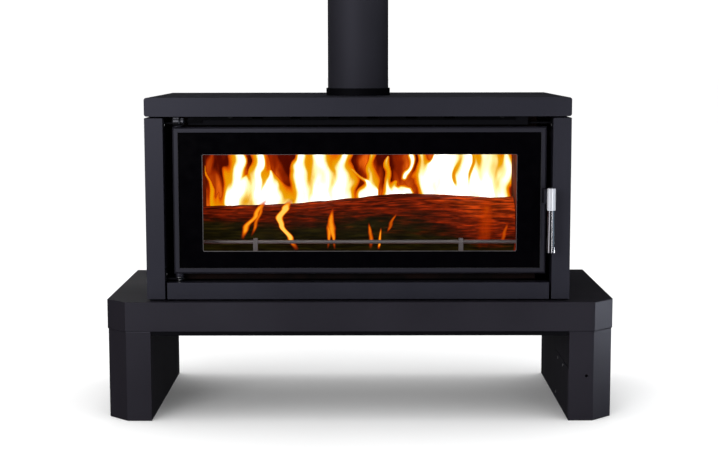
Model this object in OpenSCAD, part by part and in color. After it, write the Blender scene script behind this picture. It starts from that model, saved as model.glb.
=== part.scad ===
/* [Bench] */
// Width of the bench
bench_w = 1206; // [1120:1:1500]
// Depth of the bench
bench_d = 550; // [540:1:700]
// Height of the folded bench top
slab_h = 70; // [56:1:120]
// Height of the two legs
leg_h = 215; // [150:1:400]
// Width of each leg
leg_w = 107; // [85:1:150]
// Cut across the two front corners
corner_cut = 50; // [20:1:60]
// How far the bench top stands past the legs
slab_lip = 2; // [1:0.5:6]
// Steel sheet of the bench
bench_sheet = 3; // [2:0.5:4]

/* [Casing] */
// Width of the stove body
body_w = 1000; // [800:1:1100]
// Depth of the stove body
body_d = 510; // [480:1:640]
// Distance from the bench front back to the stove front
setback = 26; // [5:1:60]
// Distance of the stove to the left of the bench's middle
stove_shift = 4; // [0:0.5:8]
// Height of the corner posts
post_h = 428.5; // [350:0.5:560]
// Width of the corner posts
post_w = 43; // [30:1:80]
// Depth of the fold inside each post
return_d = 45; // [44:1:46]
// Steel sheet of the casing
sheet = 3; // [2:0.5:3]
// Height of the fascia below the door
fascia_h = 40; // [36:1:80]
// Height of the lid
lid_h = 44; // [40:1:70]
// Rounding of the lid's front corners
lid_r = 6; // [2:0.5:9]

/* [Door] */
// Gap from the door to the post on the hinge side
hinge_gap = 20; // [17:0.5:21]
// Gap from the door to the post on the handle side
latch_gap = 12.5; // [12.5:0.5:18]
// Gap from the door down to the fascia
door_low_gap = 19; // [19:0.5:30]
// Distance from the door front back to the casing front
door_recess = 16; // [15:0.5:18]
// Steel of the door frame
door_wall = 3; // [2:0.5:3]
// Width of the frame seen in front of the glass
door_lip = 13; // [11:0.5:20]
// Thickness of the glass
glass_t = 4; // [3:0.5:5]
// Diameter of the rope seal
rope_dia = 11; // [9:0.5:12]
// Diameter of the hinge pins
hinge_pin_dia = 8; // [6:0.5:10]

/* [Handle and air control] */
// Diameter of the handle
handle_dia = 20; // [16:0.5:24]
// Length of the hanging grip
grip_len = 98; // [70:1:130]
// Diameter of the latch spindle
spindle_dia = 8; // [6:0.5:9]
// Travel of the air slider
slide_travel = 60; // [40:1:62]
// Diameter of the air knob
knob_dia = 21; // [16:0.5:21]

/* [Flue] */
// Outer diameter of the flue pipe
flue_dia = 150; // [110:1:180]
// Length of the flue section
flue_len = 532; // [300:1:1000]
// Depth of the socket at its upper end
socket_len = 50; // [30:1:80]

/* [Hidden] */
$fn = 64;

// Paint and material colours
body_paint = [0.18, 0.18, 0.2];
bench_paint = [0.16, 0.15, 0.17];
frame_paint = [0.23, 0.23, 0.25];
dark_steel = [0.09, 0.09, 0.1];
bright_steel = [0.6, 0.6, 0.62];
chrome = [0.8, 0.8, 0.82];
fire_clay = [0.78, 0.68, 0.52];
rope_grey = [0.3, 0.29, 0.28];

// Clearances
shadow_gap = 3;
lid_gap = 3.5;
fascia_gap = 5;
head_gap = 21.5;
running = 0.05;
loose = 0.1;
free_gap = 0.3;
through = 1;

// Levels above the floor
bench_top = leg_h + slab_h;
case_z = bench_top + shadow_gap;
post_top = case_z + post_h;
lid_z = post_top + lid_gap;
lid_top = lid_z + lid_h;
fascia_top = case_z + fascia_h;
door_z = fascia_top + door_low_gap;
door_top = post_top - head_gap;
door_h = door_top - door_z;
door_mid = door_z + door_h / 2;

// Plan of the casing, with y measured back from its front and the flue's centre line at y = 0
flue_y = 0.47 * body_d;
front = -flue_y;
post_x = body_w / 2 - post_w;
door_x = post_x - (hinge_gap + latch_gap) / 2;
door_shift = (hinge_gap - latch_gap) / 2;
door_right = door_x + door_shift;
door_w = 2 * door_x;
fascia_x = post_x - fascia_gap;
inner_x = body_w / 2 - sheet;
fascia_return = 37;
rear_sheet = 2;
rear_fold = 30;
rear_y = body_d - sheet - rear_sheet;
rear_screw_x = body_w / 2 - rear_fold / 2;
rear_screw_r = 2.5;
rear_screw_reach = 3;
rear_head_r = 5;
rear_head_t = 2;
rear_slot_n = 12;
rear_slot_pitch = (body_w - 120) / rear_slot_n;
rear_slot_w = 0.68 * rear_slot_pitch;
rear_slot_h = 8;
fold_screw_y = 9;
fold_screw_r = 2;
fold_screw_z = post_top - 16.5;
fold_head_r = 3.5;
fold_head_t = 1.5;

// Plan of the bench, with y measured from its middle
bench_mid = front - setback + bench_d / 2;
leg_out = bench_w / 2 - slab_lip;
leg_in = leg_out - leg_w;
leg_mid = (leg_out + leg_in) / 2;
leg_d = bench_d - 2 * slab_lip;
leg_cut = corner_cut - slab_lip * (2 - sqrt(2));
beam_w = 60;
beam_d = bench_d - 2 * (corner_cut + bench_sheet);
leg_bolt_y = 0.36 * bench_d;
bolt_r = 4;
rail_drop = 10;
rail_h = 52;
leg_hole_x = leg_in + 42;
leg_hole_r = 3;

// Access cover on the inner side of the right leg; its screws are given as depth and level
cover_t = 1.5;
cover_low = 8;
cover_top = 126;
cover_d = 235;
cover_screws = [[94, 115], [186, 115], [221, 21]];
cover_screw_r = 2;
cover_head_r = 4;
cover_head_t = 1.5;

// Door sections, measured back from the casing front
door_depth = 28;
door_bevel = 4;
gasket_t = 3;
gasket_w = 7;
glass_edge = 6;
lip_back = door_recess + door_wall;
glass_y = lip_back + gasket_t;
clamp_y = glass_y + glass_t;
clamp_back = door_recess + door_depth - 2;
clamp_edge = door_wall + 0.5;
clamp_wall = 3;
rope_inset = 29.5;
rope_half = rope_dia / 2 + 0.2;
clamp_reach = 46;
frame_screw_r = 2.5;
frame_screw_y = door_recess + 20;
plate_y = door_recess + door_depth + 6;
rope_y = plate_y - free_gap - rope_dia / 2;

// Hinge
hinge_inset = 12;
hinge_x = door_shift - door_x + hinge_inset;
hinge_y = door_recess + hinge_inset;
pin_r = hinge_pin_dia / 2;
lug_r = pin_r + 6;
low_lug_h = 8.5;
top_lug_h = 6;
washer_t = 1.2;
bracket_t = 4;
bracket_low_top = door_z - low_lug_h - washer_t - free_gap;
bracket_up_z = door_top + top_lug_h + 1;

// Firebox
plate_t = 6;
plate_x = door_x - 17;
opening_inset = 40;
shell_wall = 5;
shell_x = plate_x - 2;
shell_y = plate_y + plate_t;
shell_back = body_d - 80;
shell_z = door_z - 17;
shell_top = lid_z + 15;
brick_t = 30;
back_brick_t = 25;
brick_joint = 1;
hearth = shell_z + shell_wall + brick_t;
chamber_x = shell_x - shell_wall;
chamber_back = shell_back - shell_wall;
brick_top = door_top - 50;
baffle_z = brick_top + 16;
baffle_front = shell_y + 70;
baffle_t = 8;
rail_t = 4;

// Flue
flue_r = flue_dia / 2;
flue_wall = 1;
flue_z = shell_top + 3;
collar_wall = 4;
collar_fit = 0.3;
collar_rise = 18;
collar_flange = 20;
collar_flange_t = 3;
lid_hole_gap = 6;
flue_overlap = 2;

// Air control
manifold_x = door_x - 42;
manifold_y = 11;
manifold_z = post_top - 16.5;
manifold_h = 45;
manifold_wall = 3;
strip_y = 8;
strip_t = 2.5;
strip_z = manifold_z + 12;
strip_h = 30;
strip_left = -(manifold_x - 13);
strip_right = manifold_x - 30;
port_w = 26;
port_h = 12;
port_pitch = 1.5 * slide_travel;
port_z = manifold_z + 27;
guide_r = 3;
guide_head_r = 5.5;
guide_head_t = 2.5;
guide_left = 100 - manifold_x;
guide_right = manifold_x - 60;
port_space = guide_right - slide_travel - guide_left - port_w - 20;
port_n = floor(port_space / port_pitch) + 1;
port_mid = (guide_left + guide_right - slide_travel) / 2;
arm_y = 5;
arm_h = 6;
arm_z = manifold_z + 6;
knob_len = 28;
knob_collar = 9;
knob_round = 3;
knob_y = -1;
knob_z = manifold_z + 8.8;
knob_right = strip_left - 20;
knob_stud_r = 3;

// Handle and latch
handle_r = handle_dia / 2;
handle_x = post_x - 8.1;
handle_y = -45;
hub_h = 51;
spindle_z = door_mid + 8;
spindle_r = spindle_dia / 2;
hub_low = spindle_z - hub_h / 2;
grip_neck = handle_r - 1.5;
grip_foot = 12;
grip_gap = 0.5;
stub_r = handle_r - 4;
bracket_front = -30;
housing_h = 22;
cam_y = plate_y + 2;
cam_t = 6;
cam_r = 6.8;
cam_reach = 20;
cam_half = 5.5;
nut_t = 5;
nut_r = 7;
keeper_gap = 0.8;
keeper_half = 17;

// Hearth furniture
retainer_y = shell_y + 60;
retainer_z = hearth + 46;
retainer_bar_r = 4.5;
retainer_x = 250;
ember_h = 6;

// The stove is placed from the front of the casing
module casing_frame() {
    translate([0, front, 0]) children();
}

// The bench is placed from its middle
module bench_frame() {
    translate([stove_shift, bench_mid, 0]) children();
}

// The door is placed from its own middle
module door_place() {
    translate([door_shift, front, 0]) children();
}

// Box between two corners
module box(low, high) {
    translate(low) cube(high - low);
}

// Cylinder along Y from one depth to another
module rod_y(x, z, y_from, y_to, r) {
    translate([x, y_to, z]) rotate([90, 0, 0]) cylinder(h = y_to - y_from, r = r);
}

// Cylinder along X from one side to another
module rod_x(y, z, x_from, x_to, r) {
    translate([x_from, y, z]) rotate([0, 90, 0]) cylinder(h = x_to - x_from, r = r);
}

// Cylinder standing up from one level to another
module rod_z(x, y, z_from, z_to, r) {
    translate([x, y, z_from]) cylinder(h = z_to - z_from, r = r);
}

// One mitred side of a frame; its child is the section, with x as depth and y as distance inwards
module frame_side(side_len, reach, width) {
    half = side_len / 2;
    intersection() {
        translate([0, 0, -reach]) rotate([90, 0, 90]) translate([0, 0, -half])
            linear_extrude(side_len) children();
        translate([0, 100, 0]) rotate([90, 0, 0]) linear_extrude(200)
            polygon([[-half, -reach], [half, -reach], [half - width, width - reach],
                [width - half, width - reach]]);
    }
}

// Frame of four mitred sides about the door's centre
module mitred_frame(w, h, width) {
    translate([0, 0, door_mid]) {
        for (turn = [0, 180]) rotate([0, turn, 0]) frame_side(w, h / 2, width) children();
        for (turn = [90, 270]) rotate([0, turn, 0]) frame_side(h, w / 2, width) children();
    }
}

// Plan outline with its front corners cut
function cut_plan(w, d, left_cut, right_cut) = concat(
    left_cut > 0 ? [[-w / 2, left_cut - d / 2], [left_cut - w / 2, -d / 2]] : [[-w / 2, -d / 2]],
    right_cut > 0 ? [[w / 2 - right_cut, -d / 2], [w / 2, right_cut - d / 2]] : [[w / 2, -d / 2]],
    [[w / 2, d / 2], [-w / 2, d / 2]]);

// Corner cut of the face one sheet further in
function inner_cut(cut, wall) = cut - wall * (2 - sqrt(2));

module bench_slab() {
    inner = inner_cut(corner_cut, bench_sheet);
    color(bench_paint) bench_frame() translate([0, 0, leg_h]) difference() {
        linear_extrude(slab_h) polygon(cut_plan(bench_w, bench_d, corner_cut, corner_cut));
        translate([0, 0, -through]) linear_extrude(slab_h - bench_sheet + through)
            polygon(cut_plan(bench_w - 2 * bench_sheet, bench_d - 2 * bench_sheet, inner, inner));
    }
}

module bolt_places() {
    for (side = [-1, 1], y = [-leg_bolt_y, leg_bolt_y]) translate([side * leg_mid, y, 0]) children();
}

module bench_beams() {
    top = bench_top - bench_sheet;
    color(dark_steel) bench_frame() difference() {
        for (side = [-1, 1])
            box([side * leg_mid - beam_w / 2, -beam_d / 2, leg_h],
                [side * leg_mid + beam_w / 2, beam_d / 2, top]);
        for (side = [-1, 1])
            box([side * leg_mid - beam_w / 2 + bench_sheet, -beam_d / 2 - through, leg_h + bench_sheet],
                [side * leg_mid + beam_w / 2 - bench_sheet, beam_d / 2 + through, top - bench_sheet]);
        bolt_places() rod_z(0, 0, leg_h - through, leg_h + bench_sheet + through, bolt_r + loose);
    }
}

// Tray between the legs that closes the underside, seen as a low edge below the bench top
module bench_soffit() {
    end = leg_in - 1;
    back = bench_d / 2 - bench_sheet;
    z = leg_h - rail_drop;
    color(dark_steel) bench_frame() {
        box([-end, -back, z], [end, back, z + bench_sheet]);
        box([-end, -back, z], [end, bench_sheet - back, z + rail_h]);
        box([-end, back - bench_sheet, z], [end, back, z + rail_h]);
    }
}

// Hollow leg on the right, closed at both ends
module leg_shell() {
    translate([leg_mid, 0, 0]) difference() {
        linear_extrude(leg_h) polygon(cut_plan(leg_w, leg_d, 0, leg_cut));
        translate([0, 0, bench_sheet]) linear_extrude(leg_h - 2 * bench_sheet)
            polygon(cut_plan(leg_w - 2 * bench_sheet, leg_d - 2 * bench_sheet, 0,
                inner_cut(leg_cut, bench_sheet)));
        for (y = [-leg_bolt_y, leg_bolt_y])
            rod_z(0, y, leg_h - bench_sheet - through, leg_h + through, bolt_r + loose);
    }
}

module leg_left() {
    color(bench_paint) bench_frame() mirror([1, 0, 0]) leg_shell();
}

// The right leg has a small hole in its front
module leg_right() {
    color(bench_paint) bench_frame() difference() {
        leg_shell();
        rod_y(leg_hole_x, leg_h / 2, -leg_d / 2 - through, bench_sheet + through - leg_d / 2,
            leg_hole_r);
    }
}

// Hexagon bolts up through the leg tops, each with its nut in the beam
module leg_bolts() {
    nut_z = leg_h + bench_sheet;
    hex_r = 7.5;
    head_t = 6;
    color(bright_steel) bench_frame() bolt_places() {
        rod_z(0, 0, leg_h - bench_sheet - 1, nut_z + 12, bolt_r);
        translate([0, 0, leg_h - bench_sheet - head_t]) cylinder(h = head_t, r = hex_r, $fn = 6);
        translate([0, 0, nut_z]) cylinder(h = head_t, r = hex_r, $fn = 6);
    }
}

module leg_access_cover() {
    color(bench_paint) bench_frame() difference() {
        box([leg_in - cover_t, 1 - leg_d / 2, cover_low], [leg_in, cover_d - leg_d / 2, cover_top]);
        for (place = cover_screws)
            rod_x(place[0] - leg_d / 2, place[1], leg_in - cover_t - through, leg_in + through,
                cover_screw_r + loose);
    }
}

module leg_cover_screws() {
    head = leg_in - cover_t;
    color(bright_steel) bench_frame() for (place = cover_screws) {
        rod_x(place[0] - leg_d / 2, place[1], head - cover_head_t, head, cover_head_r);
        rod_x(place[0] - leg_d / 2, place[1], head - 1, leg_in, cover_screw_r);
    }
}

// Low pads under the casing
module stove_pads() {
    pad_w = 60;
    pad_d = 40;
    pad_x = inner_x - pad_w - 20;
    pad_y = 70;
    color(dark_steel) casing_frame()
        for (x = [-pad_x - pad_w, pad_x], y = [pad_y, body_d - pad_y - pad_d])
            box([x, y, bench_top], [x + pad_w, y + pad_d, case_z]);
}

// Side panel on the right: outer wall, front post, inner fold and rear fold
module side_panel() {
    out = body_w / 2;
    translate([0, 0, case_z]) linear_extrude(post_h)
        polygon([[post_x, 0], [out, 0], [out, body_d], [out - rear_fold, body_d],
            [out - rear_fold, body_d - sheet], [inner_x, body_d - sheet], [inner_x, sheet],
            [post_x + sheet, sheet], [post_x + sheet, return_d], [post_x, return_d]]);
}

module rear_screw_places() {
    for (side = [-1, 1], part = [0.08, 0.36, 0.64, 0.92])
        translate([side * rear_screw_x, 0, case_z + part * post_h]) children();
}

module rear_screw_holes() {
    rear_screw_places() rod_y(0, 0, rear_y - through, body_d + through, rear_screw_r + loose);
}

// Holes through the inner fold for the screws of the hinge brackets and the tie
module fold_holes(side, low_too) {
    for (z = low_too ? [fold_screw_z, door_z] : [fold_screw_z])
        rod_x(fold_screw_y, z, side * post_x - 2 * sheet, side * post_x + 2 * sheet,
            fold_screw_r + loose);
}

module side_panel_left() {
    color(body_paint) casing_frame() difference() {
        mirror([1, 0, 0]) side_panel();
        fold_holes(-1, true);
        rear_screw_holes();
    }
}

module side_panel_right() {
    color(body_paint) casing_frame() difference() {
        side_panel();
        fold_holes(1, false);
        rear_screw_holes();
    }
}

// Rear panel with two rows of air slots
module rear_panel() {
    color(body_paint) casing_frame() difference() {
        box([-inner_x, rear_y, case_z], [inner_x, rear_y + rear_sheet, post_top]);
        for (i = [0 : rear_slot_n - 1], z = [case_z + 40, post_top - 60])
            translate([(i - (rear_slot_n - 1) / 2) * rear_slot_pitch, rear_y, z])
                box([-rear_slot_w / 2, -through, 0], [rear_slot_w / 2, rear_sheet + through, rear_slot_h]);
        rear_screw_holes();
    }
}

module rear_screws() {
    color(dark_steel) casing_frame() rear_screw_places() {
        rod_y(0, 0, rear_y - rear_screw_reach, body_d + 1, rear_screw_r);
        rod_y(0, 0, body_d, body_d + rear_head_t, rear_head_r);
    }
}

module base_plate() {
    color(dark_steel) casing_frame()
        box([-inner_x, return_d + 1, case_z], [inner_x, rear_y, case_z + sheet]);
}

// Folded strip below the door, open at the back
module lower_fascia() {
    color(body_paint) casing_frame() {
        box([-fascia_x, 0, case_z], [fascia_x, sheet, fascia_top]);
        box([-fascia_x, 0, fascia_top - sheet], [fascia_x, fascia_return, fascia_top]);
        box([-fascia_x, 0, case_z], [fascia_x, return_d + 1, case_z + sheet]);
    }
}

// Lid folded down on four sides, with rounded corners at each end
module lid() {
    half = body_w / 2;
    color(body_paint) casing_frame() difference() {
        union() {
            box([lid_r - half, 0, lid_z], [half - lid_r, body_d, lid_top]);
            box([-half, 0, lid_z + lid_r], [half, body_d, lid_top - lid_r]);
            for (side = [-1, 1], z = [lid_z + lid_r, lid_top - lid_r])
                rod_y(side * (half - lid_r), z, 0, body_d, lid_r);
        }
        box([-inner_x - sheet + lid_r, sheet, lid_z - through],
            [inner_x + sheet - lid_r, body_d - sheet, lid_top - sheet]);
        box([-inner_x, sheet, lid_z + lid_r], [inner_x, body_d - sheet, lid_top - lid_r]);
        rod_z(0, flue_y, lid_top - sheet - through, lid_top + through, flue_r + lid_hole_gap);
    }
}

// Four angles that carry the lid from the side panels
module lid_brackets() {
    w = 30;
    arm = 27;
    end = 90;
    low = post_top - 40;
    top = lid_top - sheet;
    x = body_w / 2 - lid_r - 1;
    color(dark_steel) casing_frame() for (mirrored = [0, 1], y = [end, body_d - end - w])
        mirror([mirrored, 0, 0]) {
            box([x - sheet, y, low], [x, y + w, top]);
            box([x - arm, y, top - sheet], [x, y + w, top]);
            box([x - sheet, y, low], [inner_x, y + w, post_top - 4]);
        }
}

// Two channels between the base plate and the firebox
module firebox_supports() {
    w = 40;
    wall = 4;
    end = shell_x - 40;
    low = case_z + sheet;
    color(dark_steel) casing_frame() for (y = [shell_y + 44, shell_back - 90]) difference() {
        box([-end, y, low], [end, y + w, shell_z]);
        box([-end - through, y + wall, low - through], [end + through, y + w - wall, shell_z - wall]);
    }
}

// Welded firebox, open at the front, with the flue hole in its top
module firebox_shell() {
    color(dark_steel) casing_frame() difference() {
        box([-shell_x, shell_y, shell_z], [shell_x, shell_back, shell_top]);
        box([-chamber_x, shell_y - through, shell_z + shell_wall],
            [chamber_x, chamber_back, shell_top - shell_wall]);
        rod_z(0, flue_y, shell_top - shell_wall - through, shell_top + through,
            flue_r - flue_overlap);
    }
}

module port_places() {
    for (i = [0 : port_n - 1])
        translate([port_mid + (i - (port_n - 1) / 2) * port_pitch, 0, port_z]) children();
}

// Front plate that the door seals against, with air holes along its head
module firebox_front() {
    color(dark_steel) casing_frame() difference() {
        box([-plate_x, plate_y, shell_z], [plate_x, shell_y, manifold_z + manifold_h]);
        box([opening_inset - door_x, plate_y - through, door_z + opening_inset - 1],
            [door_x - opening_inset, shell_y + through, door_top - opening_inset + 1]);
        port_places() box([-port_w / 2, plate_y - through, -port_h], [port_w / 2, shell_y + through, 0]);
    }
}

// Spigot with a flange on the firebox top
module flue_collar() {
    color(dark_steel) casing_frame() difference() {
        union() {
            rod_z(0, flue_y, shell_top, lid_top + collar_rise, flue_r + collar_wall);
            rod_z(0, flue_y, shell_top, shell_top + collar_flange_t, flue_r + collar_flange);
        }
        rod_z(0, flue_y, shell_top - through, lid_top + collar_rise + through, flue_r + collar_fit);
    }
}

// Flue section with a socket for the next one
module flue_pipe() {
    top = flue_z + flue_len;
    socket_z = top - socket_len;
    socket_r = flue_r + collar_fit;
    color(body_paint) casing_frame() difference() {
        union() {
            rod_z(0, flue_y, flue_z, socket_z, flue_r);
            rod_z(0, flue_y, socket_z - flue_wall, top, socket_r + flue_wall);
        }
        rod_z(0, flue_y, flue_z - through, socket_z + through, flue_r - flue_wall);
        rod_z(0, flue_y, socket_z, top + through, socket_r);
    }
}

module baffle_rails() {
    ledge = chamber_x - 15;
    wall = chamber_x - rail_t;
    color(dark_steel) casing_frame() for (mirrored = [0, 1]) mirror([mirrored, 0, 0]) {
        box([ledge, baffle_front, baffle_z - rail_t], [chamber_x, chamber_back, baffle_z]);
        box([wall, baffle_front, baffle_z - 14], [chamber_x, chamber_back, baffle_z]);
    }
}

module baffle_plate() {
    color(fire_clay) casing_frame()
        box([3 - chamber_x, baffle_front, baffle_z], [chamber_x - 3, chamber_back, baffle_z + baffle_t]);
}

// Row of bricks: a box cut into equal blocks along one axis with a joint between them
module brick_row(low, high, count, along) {
    size = high - low;
    step = size[along] / count;
    for (i = [0 : count - 1]) {
        a = [for (k = [0 : 2]) low[k] + (k == along ? i * step + (i > 0 ? brick_joint / 2 : 0) : 0)];
        b = [for (k = [0 : 2])
            k == along ? low[k] + (i + 1) * step - (i < count - 1 ? brick_joint / 2 : 0) : high[k]];
        box(a, b);
    }
}

module side_bricks_left() {
    color(fire_clay) casing_frame() brick_row([-chamber_x, shell_y, hearth],
        [brick_t - chamber_x, chamber_back, brick_top], 2, 1);
}

module side_bricks_right() {
    color(fire_clay) casing_frame() brick_row([chamber_x - brick_t, shell_y, hearth],
        [chamber_x, chamber_back, brick_top], 2, 1);
}

module back_bricks() {
    end = chamber_x - brick_t - brick_joint;
    color(fire_clay) casing_frame() brick_row([-end, chamber_back - back_brick_t, hearth],
        [end, chamber_back, brick_top], 4, 0);
}

module floor_bricks() {
    middle = (shell_y + chamber_back) / 2;
    z = shell_z + shell_wall;
    color(fire_clay) casing_frame() {
        brick_row([-chamber_x, shell_y, z], [chamber_x, middle - brick_joint / 2, hearth], 4, 0);
        brick_row([-chamber_x, middle + brick_joint / 2, z], [chamber_x, chamber_back, hearth], 4, 0);
    }
}

// Trough behind the front plate that turns the air down over the glass
module air_wash_duct() {
    low = manifold_z - 10;
    top = shell_top - shell_wall;
    back = shell_y + 34;
    color(dark_steel) casing_frame() {
        box([-manifold_x, back - manifold_wall, low], [manifold_x, back, top]);
        box([-manifold_x, shell_y + 6, low], [manifold_x, back, low + manifold_wall]);
        for (x = [-manifold_x, manifold_x - manifold_wall])
            box([x, shell_y, low], [x + manifold_wall, back, top]);
    }
}

module guide_screw_places() {
    for (x = [guide_left, guide_right]) translate([x, 0, port_z - port_h / 2]) children();
}

// Long box that feeds the air holes
module air_manifold() {
    color(dark_steel) casing_frame() difference() {
        box([-manifold_x, manifold_y, manifold_z], [manifold_x, plate_y, manifold_z + manifold_h]);
        box([manifold_wall - manifold_x, manifold_y + manifold_wall, manifold_z + manifold_wall],
            [manifold_x - manifold_wall, plate_y + through, manifold_z + manifold_h - manifold_wall]);
        port_places() box([-port_w / 2, manifold_y - through, -port_h],
            [port_w / 2, manifold_y + manifold_wall + through, 0]);
        guide_screw_places() rod_y(0, 0, manifold_y - through, manifold_y + manifold_wall + through,
            guide_r + running);
    }
}

// Shoulder screws that the air slider runs on
module slider_guide_screws() {
    color(bright_steel) casing_frame() guide_screw_places() {
        rod_y(0, 0, strip_y - free_gap - guide_head_t, strip_y - free_gap, guide_head_r);
        rod_y(0, 0, strip_y - free_gap - 1, manifold_y + manifold_wall + 3, guide_r);
    }
}

module log_retainer_posts() {
    post_half = 5.5;
    foot_half = 20;
    color(bright_steel) casing_frame() for (side = [-1, 1]) difference() {
        union() {
            box([side * retainer_x - post_half, retainer_y - 7, hearth],
                [side * retainer_x + post_half, retainer_y + 7, retainer_z + 9]);
            box([side * retainer_x - foot_half, retainer_y - 12, hearth],
                [side * retainer_x + foot_half, retainer_y + 12, hearth + 4]);
        }
        rod_x(retainer_y, retainer_z, side * retainer_x - foot_half, side * retainer_x + foot_half,
            retainer_bar_r + loose);
    }
}

module log_retainer_bar() {
    end = chamber_x - brick_t - 2;
    color(bright_steel) casing_frame() rod_x(retainer_y, retainer_z, -end, end, retainer_bar_r);
}

module ember_bed() {
    end = chamber_x - brick_t - 15;
    color([0.75, 0.22, 0.05]) casing_frame()
        box([-end, retainer_y + 20, hearth], [end, chamber_back - back_brick_t - 10, hearth + ember_h]);
}

// Split log that lies across the hearth, thicker at the right
module log_front() {
    len = 2 * (chamber_x - brick_t) - 36;
    r_left = 46;
    r_right = 62;
    color([0.22, 0.15, 0.1]) casing_frame()
        translate([-len / 2, retainer_y + 112, hearth + ember_h + r_left + 1])
            rotate([0, 90 - atan((r_right - r_left) / len), 0])
                cylinder(h = len, r1 = r_left, r2 = r_right);
}

module log_back() {
    len = 600;
    r = 38;
    color([0.2, 0.13, 0.09]) casing_frame()
        rod_x(retainer_y + 222, hearth + ember_h + r + 1, -len / 2, len / 2, r);
}

// Bracket on the left inner fold: a flat arm with the pin hole and a flange with its screw hole
module hinge_bracket(arm_z, flange_low, flange_high, screw_z) {
    reach = hinge_x + hinge_inset;
    difference() {
        union() {
            box([-post_x, hinge_y - 10, arm_z], [reach, return_d - 1, arm_z + bracket_t]);
            box([-post_x, 3, flange_low], [sheet - post_x, return_d - 1, flange_high]);
        }
        rod_z(hinge_x, hinge_y, arm_z - through, arm_z + bracket_t + through, pin_r + running);
        rod_x(fold_screw_y, screw_z, -post_x - through, sheet - post_x + through,
            fold_screw_r + loose);
    }
}

module hinge_bracket_lower() {
    z = bracket_low_top - bracket_t;
    color(dark_steel) casing_frame() hinge_bracket(z, z, door_z + 12, door_z);
}

module hinge_bracket_upper() {
    color(dark_steel) casing_frame()
        hinge_bracket(bracket_up_z, post_top - 24, post_top - 2, fold_screw_z);
}

// Plate on the right fold that matches the upper hinge bracket
module casing_tie() {
    color(dark_steel) casing_frame() difference() {
        union() {
            box([manifold_x + 2, 28, bracket_up_z], [post_x, return_d - 1, bracket_up_z + bracket_t]);
            box([post_x - sheet, 3, post_top - 24], [post_x, return_d - 1, post_top - 2]);
        }
        rod_x(fold_screw_y, fold_screw_z, post_x - sheet - through, post_x + through,
            fold_screw_r + loose);
    }
}

// Small bright screws in the inner folds
module post_screws() {
    places = [[-1, fold_screw_z], [1, fold_screw_z], [-1, door_z]];
    color(bright_steel) casing_frame() for (place = places) {
        tip = place[0] * (post_x + sheet + 2);
        face = place[0] * (post_x - sheet);
        head = face - place[0] * fold_head_t;
        rod_x(fold_screw_y, place[1], min(tip, head), max(tip, head), fold_screw_r);
        rod_x(fold_screw_y, place[1], min(face, head), max(face, head), fold_head_r);
    }
}

module hinge_pins() {
    low_z = bracket_low_top - bracket_t;
    up_z = bracket_up_z + bracket_t;
    head_r = pin_r + 2.5;
    head_t = 2.5;
    color(bright_steel) casing_frame() {
        rod_z(hinge_x, hinge_y, low_z - head_t, low_z, head_r);
        rod_z(hinge_x, hinge_y, low_z - 1, door_z - 0.5, pin_r);
        rod_z(hinge_x, hinge_y, up_z, up_z + head_t, head_r);
        rod_z(hinge_x, hinge_y, door_top + 0.5, up_z + 1, pin_r);
    }
}

module hinge_washer() {
    color(bright_steel) casing_frame() difference() {
        rod_z(hinge_x, hinge_y, bracket_low_top, bracket_low_top + washer_t, lug_r - 1);
        rod_z(hinge_x, hinge_y, bracket_low_top - through, bracket_low_top + washer_t + through,
            pin_r + free_gap);
    }
}

// Plate on the edge of the firebox front, beside the cam
module latch_keeper() {
    face = handle_x - cam_reach - keeper_gap;
    color(bright_steel) casing_frame()
        box([plate_x, plate_y - 4, spindle_z - keeper_half], [face, plate_y + 16, spindle_z + keeper_half]);
}

module frame_screw_places() {
    for (i = [-2 : 2], flip = [0, 180])
        translate([i * 0.2 * door_w, frame_screw_y, door_mid]) rotate([flip, 0, 0])
            translate([0, 0, door_h / 2]) children();
}

// Deep steel frame with a bevelled outer edge and a lip in front of the glass
module door_frame() {
    back = door_recess + door_depth;
    color(frame_paint) door_place() difference() {
        mitred_frame(door_w, door_h, door_lip)
            polygon([[door_recess + door_bevel, 0], [back, 0], [back, door_wall], [lip_back, door_wall],
                [lip_back, door_lip], [door_recess, door_lip], [door_recess, door_bevel]]);
        frame_screw_places() rod_z(0, 0, -door_wall - through, through, frame_screw_r + loose);
    }
}

module glass_gasket() {
    w = door_w - 2 * glass_edge;
    h = door_h - 2 * glass_edge;
    inset = glass_edge + gasket_w;
    color(rope_grey) door_place() difference() {
        box([-w / 2, lip_back, door_mid - h / 2], [w / 2, glass_y, door_mid + h / 2]);
        box([inset - door_x, lip_back - through, door_z + inset],
            [door_x - inset, glass_y + through, door_top - inset]);
    }
}

module door_glass() {
    w = door_w - 2 * glass_edge;
    h = door_h - 2 * glass_edge;
    color([0.05, 0.05, 0.06, 0.5]) door_place()
        box([-w / 2, glass_y, door_mid - h / 2], [w / 2, clamp_y, door_mid + h / 2]);
}

// Clamp frame behind the glass, with a channel for the rope
module door_inner_frame() {
    face = clamp_y + clamp_wall;
    rib_out = rope_inset - rope_half;
    rib_in = rope_inset + rope_half;
    color(dark_steel) door_place() difference() {
        mitred_frame(door_w, door_h, clamp_reach)
            polygon([[clamp_y, clamp_edge], [clamp_back, clamp_edge], [clamp_back, clamp_edge + clamp_wall],
                [face, clamp_edge + clamp_wall], [face, rib_out - clamp_wall],
                [clamp_back, rib_out - clamp_wall], [clamp_back, rib_out], [face, rib_out], [face, rib_in],
                [clamp_back, rib_in], [clamp_back, rib_in + clamp_wall], [face, rib_in + clamp_wall],
                [face, clamp_reach], [clamp_y, clamp_reach]]);
        frame_screw_places() rod_z(0, 0, -10, through, frame_screw_r + loose);
    }
}

module inner_frame_screws() {
    color(bright_steel) door_place() frame_screw_places() {
        rod_z(0, 0, -9, 1, frame_screw_r);
        rod_z(0, 0, 0, 1.5, 4.5);
    }
}

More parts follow.
